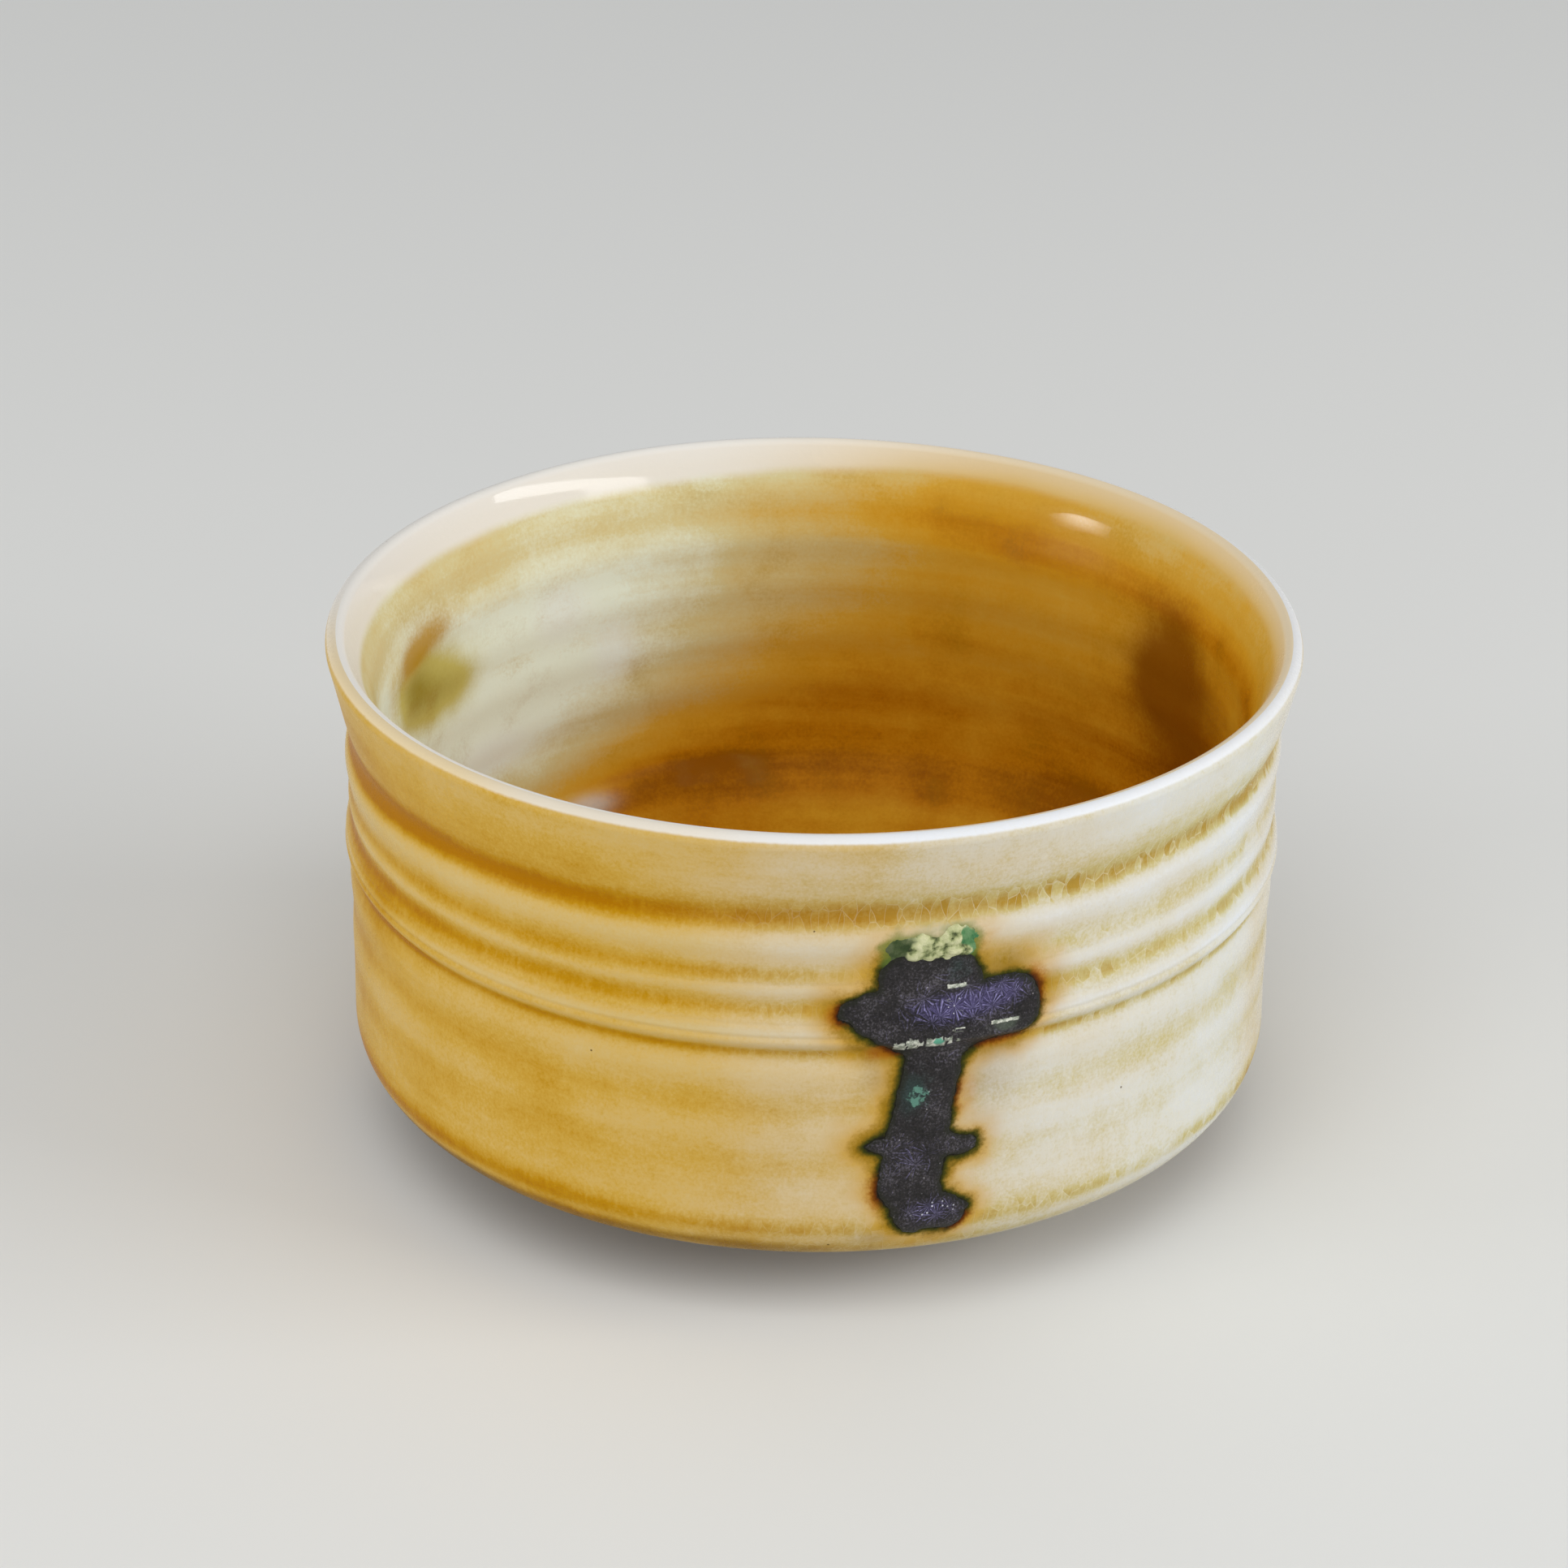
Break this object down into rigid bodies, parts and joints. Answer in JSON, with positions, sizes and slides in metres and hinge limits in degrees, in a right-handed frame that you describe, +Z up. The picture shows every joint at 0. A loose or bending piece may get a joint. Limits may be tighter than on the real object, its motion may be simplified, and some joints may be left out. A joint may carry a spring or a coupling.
{
  "type": "tea bowl",
  "caption": "Upright round tea bowl with a flared lip, throwing rings and a low foot ring, in amber ash glaze with a dark cross-shaped glaze run; holds a drink or dry goods.",
  "frame": {"origin": "centre of the foot ring's resting face, on the bowl's axis", "axes": "+Z up along the bowl's axis towards the mouth; the front, which carries the dark glaze run, faces -Y; +X is to the right of someone who looks at the front"},
  "size_m": [0.121, 0.121, 0.067],
  "materials": {
    "bare_clay": "unglazed buff stoneware, fine grit, matt",
    "foot_clay": "unglazed buff stoneware with turning marks, matt",
    "amber_glaze": "amber to cream ash glaze, pooled darker in the grooves, finely crackled, glossy",
    "lining_glaze": "ash glaze from pale celadon to deep amber, streaked, glossy",
    "dark_glaze": "dark slate iron glaze with a fine violet crystal sheen, satin",
    "ash": "pale green ash crust, rough"
  },
  "bodies": {
    "root": {"clay_body": "bare_clay", "foot_ring": "foot_clay", "outer_glaze": "amber_glaze", "inner_glaze": "lining_glaze", "dark_run": "dark_glaze", "ash_crust": "ash"}
  },
  "joints": []
}
